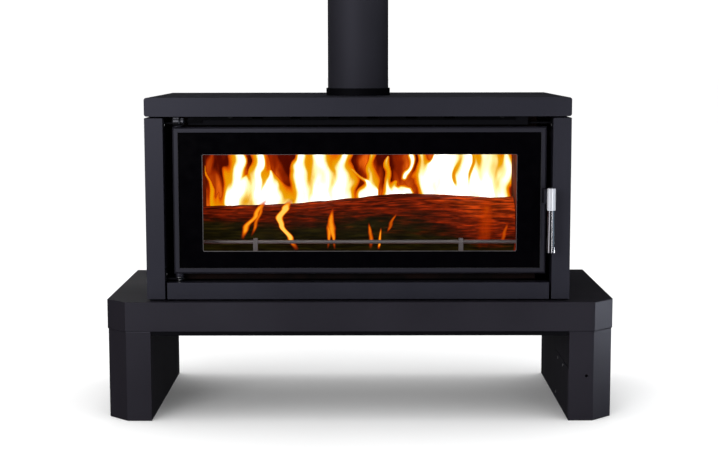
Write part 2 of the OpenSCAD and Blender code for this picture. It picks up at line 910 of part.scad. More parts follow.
// Round rope seal that runs round the channel
module door_rope() {
    color(rope_grey) door_place()
        mitred_frame(door_w, door_h, rope_inset + rope_dia)
            translate([rope_y, rope_inset]) circle(d = rope_dia);
}

module door_hinge_lugs() {
    color(frame_paint) casing_frame() {
        difference() {
            rod_z(hinge_x, hinge_y, door_z - low_lug_h, door_z, lug_r);
            rod_z(hinge_x, hinge_y, door_z - low_lug_h - through, door_z + through, pin_r + running);
        }
        difference() {
            rod_z(hinge_x, hinge_y, door_top, door_top + top_lug_h, lug_r);
            rod_z(hinge_x, hinge_y, door_top - through, door_top + top_lug_h + through, pin_r + running);
        }
    }
}

// Block on the door's edge that carries the latch spindle
module handle_bracket() {
    color(dark_steel) casing_frame() difference() {
        union() {
            box([door_right - 11, bracket_front, spindle_z - 12],
                [post_x - 1, door_recess, spindle_z + 22]);
            box([door_right, bracket_front, spindle_z - housing_h / 2],
                [post_x - 1, plate_y - 1, spindle_z + housing_h / 2]);
        }
        rod_y(handle_x, spindle_z, bracket_front - through, plate_y, spindle_r + running);
    }
}

module handle_hub() {
    color(chrome) casing_frame() difference() {
        rod_z(handle_x, handle_y, hub_low, hub_low + hub_h, handle_r);
        rod_y(handle_x, spindle_z, handle_y, handle_y + handle_r + through, spindle_r + running);
        rod_z(handle_x, handle_y, hub_low - through, hub_low + 10, stub_r + running);
    }
}

// Hanging grip, waisted at its top, with a stub up into the hub
module handle_grip() {
    top = hub_low - grip_gap;
    low = top - grip_len;
    color(chrome) casing_frame() {
        rod_z(handle_x, handle_y, low, low + grip_foot, handle_r);
        translate([handle_x, handle_y, low + grip_foot])
            cylinder(h = grip_len - grip_foot, r1 = handle_r, r2 = grip_neck);
        rod_z(handle_x, handle_y, top - 1, hub_low + 9, stub_r);
    }
}

module handle_spindle() {
    color(bright_steel) casing_frame()
        rod_y(handle_x, spindle_z, handle_y + running, cam_y + cam_t + 6, spindle_r);
}

// Cam with one lobe, pointing to the firebox when the door is latched
module latch_cam() {
    color(bright_steel) casing_frame() difference() {
        union() {
            rod_y(handle_x, spindle_z, cam_y, cam_y + cam_t, cam_r);
            box([handle_x - cam_reach, cam_y, spindle_z - cam_half],
                [handle_x, cam_y + cam_t, spindle_z + cam_half]);
        }
        rod_y(handle_x, spindle_z, cam_y - through, cam_y + cam_t + through, spindle_r + running);
    }
}

module cam_nut() {
    color(bright_steel) casing_frame() difference() {
        translate([handle_x, cam_y + cam_t + nut_t, spindle_z]) rotate([90, 0, 0])
            cylinder(h = nut_t, r = nut_r, $fn = 6);
        rod_y(handle_x, spindle_z, cam_y, cam_y + cam_t + 8, spindle_r + running);
    }
}

// Sliding strip with air ports and two guide slots
module air_slider_plate() {
    color(frame_paint) casing_frame() difference() {
        box([strip_left, strip_y, strip_z], [strip_right, strip_y + strip_t, strip_z + strip_h]);
        port_places() box([-port_w / 2, strip_y - through, -port_h],
            [port_w / 2, strip_y + strip_t + through, 0]);
        guide_screw_places() {
            for (x = [-slide_travel, 0])
                rod_y(x, 0, strip_y - through, strip_y + strip_t + through, guide_r + free_gap);
            box([-slide_travel, strip_y - through, -guide_r - free_gap],
                [0, strip_y + strip_t + through, guide_r + free_gap]);
        }
    }
}

// Arm from the strip to the knob, with the knob's stud
module slider_arm() {
    tab = knob_right + 3;
    color(frame_paint) casing_frame() {
        box([knob_right, arm_y, arm_z], [strip_left + 20, strip_y, arm_z + arm_h]);
        box([knob_right, knob_y - 5, arm_z], [tab, strip_y, arm_z + arm_h]);
        rod_x(knob_y, knob_z, knob_right - 18, knob_right + 1, knob_stud_r);
    }
}

// Turned knob: a barrel with rounded ends, and a smaller collar towards the arm
module air_knob() {
    left = knob_right - knob_len;
    step = knob_right - knob_collar;
    r = knob_dia / 2;
    color(dark_steel) casing_frame() difference() {
        union() {
            translate([left, knob_y, knob_z]) rotate([0, 90, 0])
                cylinder(h = knob_round, r1 = r - knob_round, r2 = r);
            rod_x(knob_y, knob_z, left + knob_round, step - knob_round, r);
            translate([step - knob_round, knob_y, knob_z]) rotate([0, 90, 0])
                cylinder(h = knob_round, r1 = r, r2 = r - knob_round);
            translate([step, knob_y, knob_z]) rotate([0, 90, 0])
                cylinder(h = 1.5, r1 = r - knob_round, r2 = r - 1.5);
            rod_x(knob_y, knob_z, step + 1.5, knob_right - 2, r - 1.5);
            translate([knob_right - 2, knob_y, knob_z]) rotate([0, 90, 0])
                cylinder(h = 2, r1 = r - 1.5, r2 = r - 3.5);
        }
        rod_x(knob_y, knob_z, knob_right - 19, knob_right + through, knob_stud_r + running);
    }
}

bench_slab();
bench_beams();
bench_soffit();
leg_left();
leg_right();
leg_bolts();
leg_access_cover();
leg_cover_screws();
stove_pads();
side_panel_left();
side_panel_right();
rear_panel();
rear_screws();
base_plate();
lower_fascia();
lid();
lid_brackets();
firebox_supports();
firebox_shell();
firebox_front();
flue_collar();
flue_pipe();
baffle_rails();
baffle_plate();
side_bricks_left();
side_bricks_right();
back_bricks();
floor_bricks();
air_wash_duct();
air_manifold();
slider_guide_screws();
log_retainer_posts();
log_retainer_bar();
ember_bed();
log_front();
log_back();
hinge_bracket_lower();
hinge_bracket_upper();
casing_tie();
post_screws();
hinge_pins();
hinge_washer();
latch_keeper();
door_frame();
glass_gasket();
door_glass();
door_inner_frame();
inner_frame_screws();
door_rope();
door_hinge_lugs();
handle_bracket();
handle_hub();
handle_grip();
handle_spindle();
latch_cam();
cam_nut();
air_slider_plate();
slider_arm();
air_knob();
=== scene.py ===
# %% [markdown]
# # A wide wood burning stove on a log bench
# This lesson gives a finished look to a stove that was designed in a CAD tool. The steel parts, the
# glass and the fittings come in as solids with true sizes, so here we only soften their edges and paint
# them. The logs, the embers, the glass border and the flames are made in Blender.
# Everything is in metres. X runs to the right, Y runs from the door to the back, and Z runs up.

# %% Load the frame
import math
import random

import bmesh
import bpy
from mathutils import Euler, Matrix, Vector, noise


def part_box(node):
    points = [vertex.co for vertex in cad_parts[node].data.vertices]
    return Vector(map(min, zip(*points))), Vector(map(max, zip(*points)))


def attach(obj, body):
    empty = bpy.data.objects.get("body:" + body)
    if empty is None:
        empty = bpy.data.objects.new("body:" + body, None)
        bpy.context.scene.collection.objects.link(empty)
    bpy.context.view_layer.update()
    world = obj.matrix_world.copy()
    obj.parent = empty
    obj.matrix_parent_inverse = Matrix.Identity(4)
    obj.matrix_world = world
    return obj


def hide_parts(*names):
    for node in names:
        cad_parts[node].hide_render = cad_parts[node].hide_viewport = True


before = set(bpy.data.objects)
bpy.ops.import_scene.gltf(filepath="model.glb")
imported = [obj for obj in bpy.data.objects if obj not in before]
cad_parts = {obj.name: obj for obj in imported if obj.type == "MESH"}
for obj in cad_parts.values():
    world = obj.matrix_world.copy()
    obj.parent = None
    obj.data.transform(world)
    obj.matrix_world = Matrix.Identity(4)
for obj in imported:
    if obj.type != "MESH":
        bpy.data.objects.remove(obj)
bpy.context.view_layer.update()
random.seed(7)

# %% [markdown]
# ## Driving sizes
# Places are read from the frame, so that a change in the design moves the looks with it. The front of
# the casing, the hearth and the inside of the firebox are the places that most pieces are measured from.

# %% Places read from the frame
def low(node):
    return Vector(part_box(node)[0])


def high(node):
    return Vector(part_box(node)[1])


stove_front = low("lid").y
hearth = high("floor_bricks").z
fire_left = high("side_bricks_left").x
fire_right = low("side_bricks_right").x
glass_front = low("door_glass").y
door_low = low("door_frame").z
door_top = high("door_frame").z
door_side = high("door_frame").x
print("stove front y", round(stove_front, 4), "hearth z", round(hearth, 4))

# %% [markdown]
# ## Small helpers for node materials
# A Blender material is a graph of nodes. Five short helpers keep the graphs readable: one adds a node
# and sets its inputs, one joins two sockets, one starts a material that ends in a Principled shader, one
# changes a single input of a finished material, and one does sums with sockets and numbers.

# %% Node helpers
def add(tree, kind, inputs=None, **settings):
    node = tree.nodes.new("ShaderNode" + kind)
    for key, value in settings.items():
        setattr(node, key, value)
    for key, value in (inputs or {}).items():
        node.inputs[key].default_value = value
    return node


def join(tree, source, target):
    tree.links.new(source, target)


def start_material(name, **inputs):
    material = bpy.data.materials.new(name)
    material.use_nodes = True
    tree = material.node_tree
    tree.nodes.clear()
    shader = add(tree, "BsdfPrincipled", inputs)
    output = add(tree, "OutputMaterial")
    join(tree, shader.outputs[0], output.inputs["Surface"])
    return material, tree, shader


def retune(material, key, value):
    material.node_tree.nodes["Principled BSDF"].inputs[key].default_value = value


def calculate(tree, operation, first, second=None):
    node = add(tree, "Math", operation=operation)
    for socket, value in zip(node.inputs, (first, second)):
        if value is None:
            continue
        if isinstance(value, (int, float)):
            socket.default_value = value
        else:
            join(tree, value, socket)
    return node.outputs[0]


# %% [markdown]
# Real surfaces are never one even tone. A ramp turns noise into a narrow range of colours or gloss, and
# a bump makes the grain of a sprayed or sooted skin. The noise is laid out in the piece's own space, so
# it stays put when the piece moves.

# %% Colour ramps, noise and bumps
def ramp(tree, source, stops):
    node = add(tree, "ValToRGB")
    elements = node.color_ramp.elements
    for place, colour in stops[2:]:
        elements.new(place)
    for element, (place, colour) in zip(elements, sorted(stops)):
        element.position = place
        element.color = (*colour, 1)
    join(tree, source, node.inputs["Fac"])
    return node.outputs["Color"]


def speckle(tree, scale, stretch=(1, 1, 1), detail=2.0, twist=0.0):
    place = add(tree, "TexCoord")
    mapping = add(tree, "Mapping")
    mapping.inputs["Scale"].default_value = stretch
    grain = add(tree, "TexNoise", {"Scale": scale, "Detail": detail, "Distortion": twist})
    join(tree, place.outputs["Object"], mapping.inputs["Vector"])
    join(tree, mapping.outputs["Vector"], grain.inputs["Vector"])
    return grain.outputs["Fac"]


def roughen(tree, shader, height, strength, distance):
    bump = add(tree, "Bump", {"Strength": strength, "Distance": distance})
    join(tree, height, bump.inputs["Height"])
    join(tree, bump.outputs["Normal"], shader.inputs["Normal"])


def shade(colour, factor):
    return tuple(channel * factor for channel in colour)


# %% [markdown]
# ## Satin stove paint
# The casing and the bench are sprayed with a high-temperature satin black. Close up it has a very fine
# orange peel, and its tone drifts slightly over a large panel. A slow noise drives the colour and the
# roughness, and a fine noise drives a shallow bump. What it mirrors comes back slightly blue. The collar
# is almost black and mirrors very little. The parts in the gaps, under the bench and inside the casing
# get a far darker paint as painted shade, and mirror very little too.

# %% Stove paint
blue_sheen = (0.80, 0.80, 1.0, 1)


def stove_paint(name, colour, roughness=0.42, peel=0.1):
    material, tree, shader = start_material(name, Roughness=roughness)
    cloud = speckle(tree, 3.0, detail=3.0)
    tone = ramp(tree, cloud, [(0.3, shade(colour, 0.88)), (0.7, shade(colour, 1.12))])
    join(tree, tone, shader.inputs["Base Color"])
    gloss = ramp(tree, cloud, [(0.3, (roughness - 0.05,) * 3), (0.7, (roughness + 0.05,) * 3)])
    join(tree, gloss, shader.inputs["Roughness"])
    roughen(tree, shader, speckle(tree, 700.0), peel, 0.0003)
    shader.inputs["Specular Tint"].default_value = blue_sheen
    return material


body_paint = stove_paint("body_paint", (0.0105, 0.0103, 0.0158))
bench_paint = stove_paint("bench_paint", (0.0112, 0.0094, 0.0130))
door_paint = stove_paint("door_paint", (0.0118, 0.0114, 0.0160), 0.38)
flue_paint = stove_paint("flue_paint", (0.0125, 0.0118, 0.0160), 0.65, 0.2)
collar_paint = stove_paint("collar_paint", (0.0006, 0.0005, 0.0007), 0.7)
# Painted shade: the parts in gaps, under the bench and inside the casing get a far darker paint than the
# casing.
recess_shade_paint = stove_paint("recess_shade_paint", (0.0015, 0.0014, 0.0018), 0.7, 0.25)
for dull in (collar_paint, recess_shade_paint):
    retune(dull, "Specular IOR Level", 0.15)
print("paints made")

# %% [markdown]
# ## Bare metals
# One function makes every metal. Zinc screws are bright and slightly cloudy, and a few are blackened. The
# log retainer is round bar that the fire has dulled, with streaks along it. The grip is chrome, where even
# a faint unevenness in the polish matters, because it breaks up the long reflections. The hub is a softer,
# satin chrome, and the knob is dark steel. The air slider and its arm are almost black, as painted shade
# in the gap under the lid.

# %% Metals
def bare_metal(name, colour, roughness, streak, stretch=(1, 1, 1), bump=0.05):
    material, tree, shader = start_material(name, Metallic=1.0, Roughness=roughness)
    grain = speckle(tree, streak, stretch, 3.0)
    join(tree, ramp(tree, grain, [(0.3, shade(colour, 0.8)), (0.7, colour)]), shader.inputs["Base Color"])
    gloss = ramp(tree, grain, [(0.3, (roughness * 0.8,) * 3), (0.7, (roughness * 1.25,) * 3)])
    join(tree, gloss, shader.inputs["Roughness"])
    roughen(tree, shader, grain, bump, 0.0002)
    return material


zinc = bare_metal("zinc", (0.62, 0.62, 0.64), 0.32, 240.0)
black_zinc = bare_metal("black_zinc", (0.02, 0.02, 0.022), 0.45, 240.0)
dull_bar = bare_metal("dull_bar", (0.24, 0.23, 0.25), 0.40, 60.0, (1, 8, 8), 0.2)
retune(dull_bar, "Metallic", 0.35)
chrome = bare_metal("chrome", (0.78, 0.78, 0.84), 0.10, 90.0, (1, 1, 0.1), 0.02)
satin_chrome = bare_metal("satin_chrome", (0.88, 0.90, 0.97), 0.13, 90.0, (1, 1, 0.1), 0.02)
retune(satin_chrome, "Metallic", 0.58)
# Painted shade: the air slider and its arm are made almost black for the shaded gap under the lid.
slider_shade_steel = bare_metal("slider_shade_steel", (0.006, 0.006, 0.007), 0.5, 120.0, (0.1, 1, 1))
knob_steel = bare_metal("knob_steel", (0.13, 0.13, 0.15), 0.40, 300.0)
print("metals made")

# %% [markdown]
# ## Plate, brick and rope
# Inside the firebox everything is sooted. The plate is brown-black, and so is the firebrick, which has
# pores and glows a dull red in patches, partly as hot brick does and partly as painted firelight from the
# flames. The baffle board is browner. The rope seal is braided glass fibre, and two crossing wave textures
# give its plait, with painted shade in the hollows between the strands.

# %% Firebox finishes
def sooted(name, clean, soot, scale, pores, firelight_glow=(0, 0, 0)):
    material, tree, shader = start_material(name, Roughness=0.92)
    cloud = speckle(tree, scale, detail=6.0, twist=0.6)
    join(tree, ramp(tree, cloud, [(0.38, soot), (0.72, clean)]), shader.inputs["Base Color"])
    # Painted firelight: the brick's dull red glow stands partly for light from the flames falling on it.
    painted_firelight = ramp(tree, cloud, [(0.36, shade(firelight_glow, 0.15)), (0.68, firelight_glow)])
    join(tree, painted_firelight, shader.inputs["Emission Color"])
    shader.inputs["Emission Strength"].default_value = 1.0
    shader.inputs["Specular IOR Level"].default_value = 0.1
    roughen(tree, shader, speckle(tree, pores, detail=4.0), 0.5, 0.001)
    return material


def braided_rope(name, colour):
    material, tree, shader = start_material(name, Roughness=0.95)
    place = add(tree, "TexCoord")
    waves = []
    for lean in (1, -1):
        mapping = add(tree, "Mapping")
        mapping.inputs["Scale"].default_value = (1, 0.6 * lean, 1)
        mapping.inputs["Rotation"].default_value = (0, math.radians(45 * lean), 0)
        wave = add(tree, "TexWave", {"Scale": 55.0, "Distortion": 0.6})
        join(tree, place.outputs["Object"], mapping.inputs["Vector"])
        join(tree, mapping.outputs["Vector"], wave.inputs["Vector"])
        waves.append(wave.outputs["Fac"])
    plait = calculate(tree, "MULTIPLY", waves[0], waves[1])
    # Painted shade: the hollows between the strands are darker.
    join(tree, ramp(tree, plait, [(0.0, shade(colour, 0.35)), (0.5, colour)]), shader.inputs["Base Color"])
    roughen(tree, shader, plait, 0.8, 0.0012)
    return material


firebox_plate = sooted("firebox_plate", (0.010, 0.004, 0.003), (0.003, 0.002, 0.002), 14.0, 260.0)
firebrick = sooted("firebrick", (0.008, 0.002, 0.001), (0.003, 0.001, 0.0005), 14.0, 380.0,
                   (0.16, 0.010, 0.0005))
vermiculite = sooted("vermiculite", (0.06, 0.02, 0.008), (0.012, 0.004, 0.002), 12.0, 900.0)
rope_seal = braided_rope("rope_seal", (0.10, 0.095, 0.09))
print("firebox finishes made")

# %% [markdown]
# ## Painting the solids and softening their edges
# Folded steel never has a knife edge. A bevel of about a millimetre catches a thin line of light on
# every fold, and that line is what makes sheet metal look real. A weld modifier comes first, because
# an imported mesh has its faces split apart, and a weighted normal modifier keeps the big flats flat.

# %% Paint the solids
def soften(node, width):
    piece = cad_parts[node]
    weld = piece.modifiers.new("weld", "WELD")
    weld.merge_threshold = 0.00001
    bevel = piece.modifiers.new("fold", "BEVEL")
    bevel.width = width
    bevel.segments = 2
    bevel.limit_method = "ANGLE"
    bevel.angle_limit = math.radians(40)
    bevel.use_clamp_overlap = True
    flats = piece.modifiers.new("flats", "WEIGHTED_NORMAL")
    flats.keep_sharp = True


def finish_node(node, material, width=0.0):
    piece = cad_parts[node]
    piece.data.materials.clear()
    piece.data.materials.append(material)
    if width:
        soften(node, width)


finishes = {
    body_paint: {"side_panel_left": 0.001, "side_panel_right": 0.001, "rear_panel": 0.0004,
                 "lower_fascia": 0.001, "lid": 0.0013},
    bench_paint: {"bench_slab": 0.0014, "leg_left": 0.0014, "leg_right": 0.0014,
                  "leg_access_cover": 0.0004},
    door_paint: {"door_frame": 0.0005, "door_hinge_lugs": 0.0006, "handle_bracket": 0.001},
    flue_paint: {"flue_pipe": 0},
    collar_paint: {"flue_collar": 0.0008},
    recess_shade_paint: {"bench_beams": 0, "bench_soffit": 0.0008, "stove_pads": 0, "base_plate": 0,
                   "lid_brackets": 0, "firebox_supports": 0, "baffle_rails": 0, "air_wash_duct": 0,
                   "air_manifold": 0.0004, "casing_tie": 0.0004, "hinge_bracket_lower": 0.0005,
                   "hinge_bracket_upper": 0.0005, "door_inner_frame": 0.0004},
    firebox_plate: {"firebox_shell": 0, "firebox_front": 0.0006},
    firebrick: {"side_bricks_left": 0.0015, "side_bricks_right": 0.0015, "back_bricks": 0.0015,
                "floor_bricks": 0.0015},
    vermiculite: {"baffle_plate": 0.001},
    rope_seal: {"glass_gasket": 0, "door_rope": 0},
    zinc: {"leg_bolts": 0.0005, "leg_cover_screws": 0.0004, "post_screws": 0.0004, "rear_screws": 0.0004,
           "hinge_pins": 0.0004, "hinge_washer": 0, "latch_keeper": 0.0005, "handle_spindle": 0,
           "latch_cam": 0.0005, "cam_nut": 0.0005},
    black_zinc: {"inner_frame_screws": 0.0004, "slider_guide_screws": 0.0004},
    dull_bar: {"log_retainer_bar": 0, "log_retainer_posts": 0.0012},
    satin_chrome: {"handle_hub": 0.0012},
    chrome: {"handle_grip": 0.0012},
    slider_shade_steel: {"air_slider_plate": 0.0003, "slider_arm": 0.0005},
    knob_steel: {"air_knob": 0.0008},
}
for material, nodes in finishes.items():
    for node, width in nodes.items():
        finish_node(node, material, width)
print("painted", sum(len(nodes) for nodes in finishes.values()), "solids")

# %% [markdown]
# ## Pieces made here
# Each piece that is modelled here is built up as a loose mesh first and then turned into an object. It is
# painted, fixed to the body that it moves with, and it may stand for a plain solid of the design, which
# is then hidden.

# %% Make and place a piece
def object_from(name, mesh):
    data = bpy.data.meshes.new(name)
    mesh.to_mesh(data)
    mesh.free()
    piece = bpy.data.objects.new(name, data)
    bpy.context.collection.objects.link(piece)
    return piece


def place_piece(piece, material, body, slot_name, *stands_for):
    piece.data.materials.append(material)
    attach(piece, body)
    if stands_for:
        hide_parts(*stands_for)


# %% [markdown]
# ## The glass and its black border
# The door has one pane of ceramic glass. A black enamel border is printed on it, and only the middle is
# clear. A pane this thin can be a mix of a clear shader and a glossy one, weighted by the Fresnel angle,
# which is quick to render and stays free of noise.

# %% Clear glass
def clear_glass():
    material = bpy.data.materials.new("clear_glass")
    material.use_nodes = True
    tree = material.node_tree
    tree.nodes.clear()
    clear = add(tree, "BsdfTransparent", {"Color": (0.96, 0.95, 0.94, 1)})
    gloss = add(tree, "BsdfGlossy", {"Roughness": 0.03})
    haze = speckle(tree, 6.0, detail=3.0)
    join(tree, ramp(tree, haze, [(0.2, (0.02,) * 3), (0.8, (0.06,) * 3)]), gloss.inputs["Roughness"])
    fresnel = add(tree, "Fresnel", {"IOR": 1.22})
    mix = add(tree, "MixShader")
    output = add(tree, "OutputMaterial")
    join(tree, fresnel.outputs[0], mix.inputs[0])
    join(tree, clear.outputs[0], mix.inputs[1])
    join(tree, gloss.outputs[0], mix.inputs[2])
    join(tree, mix.outputs[0], output.inputs["Surface"])
    return material


finish_node("door_glass", clear_glass())

# %% [markdown]
# A real stove glass carries a fired black enamel border that hides the clamps and the rope. It is drawn as
# a flat ring of its own, 0.3 mm thick, just in front of the pane, with the clear window as
# its hole.

# %% Enamel border, as a thin ring round the clear window
def rounded_loop(left, right, bottom, top, radius, steps=8):
    points = []
    corners = [(right - radius, top - radius, 0), (left + radius, top - radius, 90),
               (left + radius, bottom + radius, 180), (right - radius, bottom + radius, 270)]
    for x, z, start in corners:
        for step in range(steps + 1):
            angle = math.radians(start + 90 * step / steps)
            points.append((x + radius * math.cos(angle), z + radius * math.sin(angle)))
    return points


def ring_piece(name, outer, inner, front, thickness):
    mesh = bmesh.new()
    loops = [[mesh.verts.new((x, y, z)) for x, z in loop]
             for y, loop in ((front, outer), (front, inner), (front + thickness, inner),
                             (front + thickness, outer))]
    count = len(outer)
    for a, b in ((0, 1), (1, 2), (2, 3), (3, 0)):
        for i in range(count):
            k = (i + 1) % count
            mesh.faces.new((loops[a][i], loops[a][k], loops[b][k], loops[b][i]))
    bmesh.ops.recalc_face_normals(mesh, faces=mesh.faces)
    return object_from(name, mesh)


window_inset_side = 0.070
window_inset_low = 0.054
window_inset_top = 0.0656
border_inset = 0.0132
window_corner = 0.003
border_corner = 0.001
ring_thickness = 0.0003
border_front = glass_front - 0.0004
door_middle = (low("door_frame").x + high("door_frame").x) / 2
door_half = door_side - door_middle
window_half = door_half - window_inset_side
window_low = door_low + window_inset_low
window_top = door_top - window_inset_top
border_half = door_half - border_inset
window_left = door_middle - window_half
window_right = door_middle + window_half
window = rounded_loop(window_left, window_right, window_low, window_top, window_corner)
pane_edge = rounded_loop(door_middle - border_half, door_middle + border_half, door_low + border_inset,
                         door_top - border_inset, border_corner)
enamel, tree, shader = start_material("black_enamel", Roughness=0.16)
dust = speckle(tree, 40.0, detail=4.0)
join(tree, ramp(tree, dust, [(0.3, (0.13,) * 3), (0.7, (0.20,) * 3)]), shader.inputs["Roughness"])
roughen(tree, shader, speckle(tree, 15.0), 0.02, 0.0005)
join(tree, ramp(tree, dust, [(0.3, (0.0004, 0.0003, 0.0008)), (0.8, (0.0007, 0.0005, 0.0012))]),
     shader.inputs["Base Color"])
shader.inputs["Specular IOR Level"].default_value = 0.12
border = ring_piece("glass_border", pane_edge, window, border_front, ring_thickness)
place_piece(border, enamel, "door", "glass")
print("clear window", round(2 * window_half, 3), "by", round(window_top - window_low, 3))

# %% [markdown]
# Where the enamel ends, its edge catches a thin line of light. It is drawn as a painted highlight: a grey
# ring about a millimetre wide that lies on the front of the border, and it is a little wider below than
# above.

# %% Painted highlight round the window
edge_side = 0.0012
edge_below = 0.0016
edge_above = 0.0008
edge_corner = 0.0038
edge_front = glass_front - 0.0007
edge_out = rounded_loop(window_left - edge_side, window_right + edge_side, window_low - edge_below,
                        window_top + edge_above, edge_corner)
# Painted highlight: a grey ring stands for the light that the enamel's edge catches.
edge_highlight = ring_piece("window_edge_highlight", edge_out, window, edge_front, ring_thickness)
edge_highlight_grey = bare_metal("edge_highlight_grey", (0.26, 0.25, 0.26), 0.5, 80.0)
place_piece(edge_highlight, edge_highlight_grey, "door", "glass")

# %% [markdown]
# ## Burning logs
# A split log is a bent, tapering tube whose skin is broken into long ridges. We build rings of points,
# push each point in or out with noise that is stretched along the log, and close the ends. The colour
# follows the height: the top glows red-brown next to the flames, partly with the wood's own heat and partly
# as painted firelight, and the shaded front is painted almost black with a green-brown tinge.

# %% Log shape
def log_skin(x, angle, radius):
    y = math.cos(angle)
    z = math.sin(angle)
    ridge = noise.noise(Vector((x * 7, y * 5, z * 5))) * 0.07
    bark = noise.noise(Vector((x * 16, y * 17, z * 17 + 3))) * 0.045
    split = max(0.0, noise.noise(Vector((x * 5, y * 26, z * 26 + 9))) - 0.22) * -0.16
    grain = noise.noise(Vector((x * 40, y * 60, z * 60))) * 0.012
    return radius * (1 + ridge + bark + split + grain)


def split_log(name, x_left, x_right, y, floor_z, left_radius, right_radius, hump, rings=220, around=96):
    mesh = bmesh.new()
    loops = []
    for i in range(rings + 1):
        part = i / rings
        x = x_left + (x_right - x_left) * part
        radius = left_radius + (right_radius - left_radius) * part
        radius += hump * math.exp(-((part - 0.64) / 0.22) ** 2)
        loop = []
        for j in range(around):
            angle = 2 * math.pi * j / around
            reach = log_skin(x, angle, radius)
            loop.append(mesh.verts.new((x, y + reach * math.cos(angle),
                                        floor_z + radius + reach * math.sin(angle))))
        loops.append(loop)
    for a, b in zip(loops, loops[1:]):
        for j in range(around):
            k = (j + 1) % around
            mesh.faces.new((a[j], b[j], b[k], a[k]))
    mesh.faces.new(loops[0])
    mesh.faces.new(reversed(loops[-1]))
    bmesh.ops.recalc_face_normals(mesh, faces=mesh.faces)
    for face in mesh.faces:
        face.smooth = len(face.verts) == 4
    return object_from(name, mesh)


# %% [markdown]
# The glow of the wood is driven by the height of each point, which paints firelight on the top and shade
# below it, by a slow noise that makes hot and cool patches, and by a fine grain that runs along the log.
# The right end, where the fire is fiercest, is warm all over, partly its own glow and partly painted
# firelight. The base colour follows the same sum, so the top is also painted a lighter brown.

# %% Burning wood finish
def burning_wood(name, foot, crown):
    material, tree, shader = start_material(name, Roughness=0.9)
    shader.inputs["Specular IOR Level"].default_value = 0.1
    place = add(tree, "TexCoord")
    split = add(tree, "SeparateXYZ")
    join(tree, place.outputs["Object"], split.inputs[0])
    height = add(tree, "MapRange", {"From Min": foot, "From Max": crown})
    join(tree, split.outputs["Z"], height.inputs["Value"])
    right = add(tree, "MapRange", {"From Min": 0.14, "From Max": 0.30, "To Max": 0.42})
    join(tree, split.outputs["X"], right.inputs["Value"])
    grain = speckle(tree, 170.0, (0.13, 1, 1), 5.0, 0.3)
    band = speckle(tree, 45.0, (0.10, 1, 1), 3.0, 0.5)
    patch = speckle(tree, 13.0, (0.8, 1, 1), 3.0)
    # Painted light: height and the right end add painted firelight on top of the wood's own glow, and leave
    # the lower front as painted shade.
    firelit_warmth = calculate(tree, "ADD", height.outputs[0], right.outputs[0])
    for texture, weight in ((patch, 0.55), (band, 0.7), (grain, 0.45)):
        drift = calculate(tree, "MULTIPLY", calculate(tree, "SUBTRACT", texture, 0.5), weight)
        firelit_warmth = calculate(tree, "ADD", firelit_warmth, drift)
    # The base colour rises with the same sum, so the top is painted a lighter brown.
    colour = ramp(tree, firelit_warmth, [(0.3, (0.003, 0.003, 0.001)), (1.0, (0.012, 0.004, 0.001))])
    join(tree, colour, shader.inputs["Base Color"])
    firelit_warmth = calculate(tree, "MULTIPLY", firelit_warmth, 0.75)
    firelight_glow = ramp(tree, firelit_warmth, [(0.0, (0.010, 0.009, 0.001)), (1.0, (0.60, 0.055, 0.003)),
                             (0.40, (0.016, 0.012, 0.001)), (0.52, (0.055, 0.007, 0.0005)),
                             (0.66, (0.17, 0.010, 0.0008)), (0.82, (0.34, 0.022, 0.0015))])
    join(tree, firelight_glow, shader.inputs["Emission Color"])
    sparkle = calculate(tree, "MULTIPLY", calculate(tree, "POWER", grain, 3.0), 4.2)
    join(tree, sparkle, shader.inputs["Emission Strength"])
    roughen(tree, shader, band, 0.7, 0.003)
    return material


# %% [markdown]
# The front log reaches from one side of the firebox to the other and is thicker at the right. The back
# log is shorter and is mostly hidden by flames.

# %% The two logs
ember_top = high("ember_bed").z
front_low = low("log_front")
front_high = high("log_front")
front_y = (front_low.y + front_high.y) / 2
log_gap = 0.0005
front_log = split_log("burning_log_front", fire_left + log_gap, fire_right - log_gap, front_y, ember_top,
                      left_radius=0.0575, right_radius=0.069, hump=0.008)
place_piece(front_log, burning_wood("front_log_wood", ember_top, front_high.z), "stove", "burning_wood",
            "log_front")
back_low = low("log_back")
back_high = high("log_back")
back_radius = (back_high.z - back_low.z) / 2
back_log = split_log("burning_log_back", back_low.x, back_high.x, (back_low.y + back_high.y) / 2,
                     ember_top, left_radius=back_radius * 0.94, right_radius=back_radius * 0.9,
                     hump=0.0, rings=120, around=64)
place_piece(back_log, burning_wood("back_log_wood", ember_top, back_high.z), "stove", "burning_wood",
            "log_back")
print("front log tops out at", round(max(v.co.z for v in front_log.data.vertices), 3))

# %% [markdown]
# ## Ember bed
# Embers are rounded lumps of charcoal with a bright glow in the gaps. A Voronoi pattern does both jobs:
# it lifts each lump in the mesh, and in the material it leaves the light in the cracks between cells.

# %% Embers
def ember_height(x, y):
    nearest = noise.voronoi(Vector((x * 42, y * 42, 0)))[0]
    lump = min(1.0, (nearest[1] - nearest[0]) * 1.6)
    drift = noise.noise(Vector((x * 6, y * 9, 4)))
    return 0.004 + 0.009 * math.sqrt(max(lump, 0.0)) + 0.004 * drift


def ember_bed(name, corner, far, columns=240, rows=90):
    mesh = bmesh.new()
    grid = []
    for i in range(columns + 1):
        x = corner.x + (far.x - corner.x) * i / columns
        grid.append([])
        for j in range(rows + 1):
            y = corner.y + (far.y - corner.y) * j / rows
            grid[-1].append(mesh.verts.new((x, y, corner.z + ember_height(x, y))))
    for i in range(columns):
        for j in range(rows):
            face = mesh.faces.new((grid[i][j], grid[i + 1][j], grid[i + 1][j + 1], grid[i][j + 1]))
            face.smooth = True
    return object_from(name, mesh)


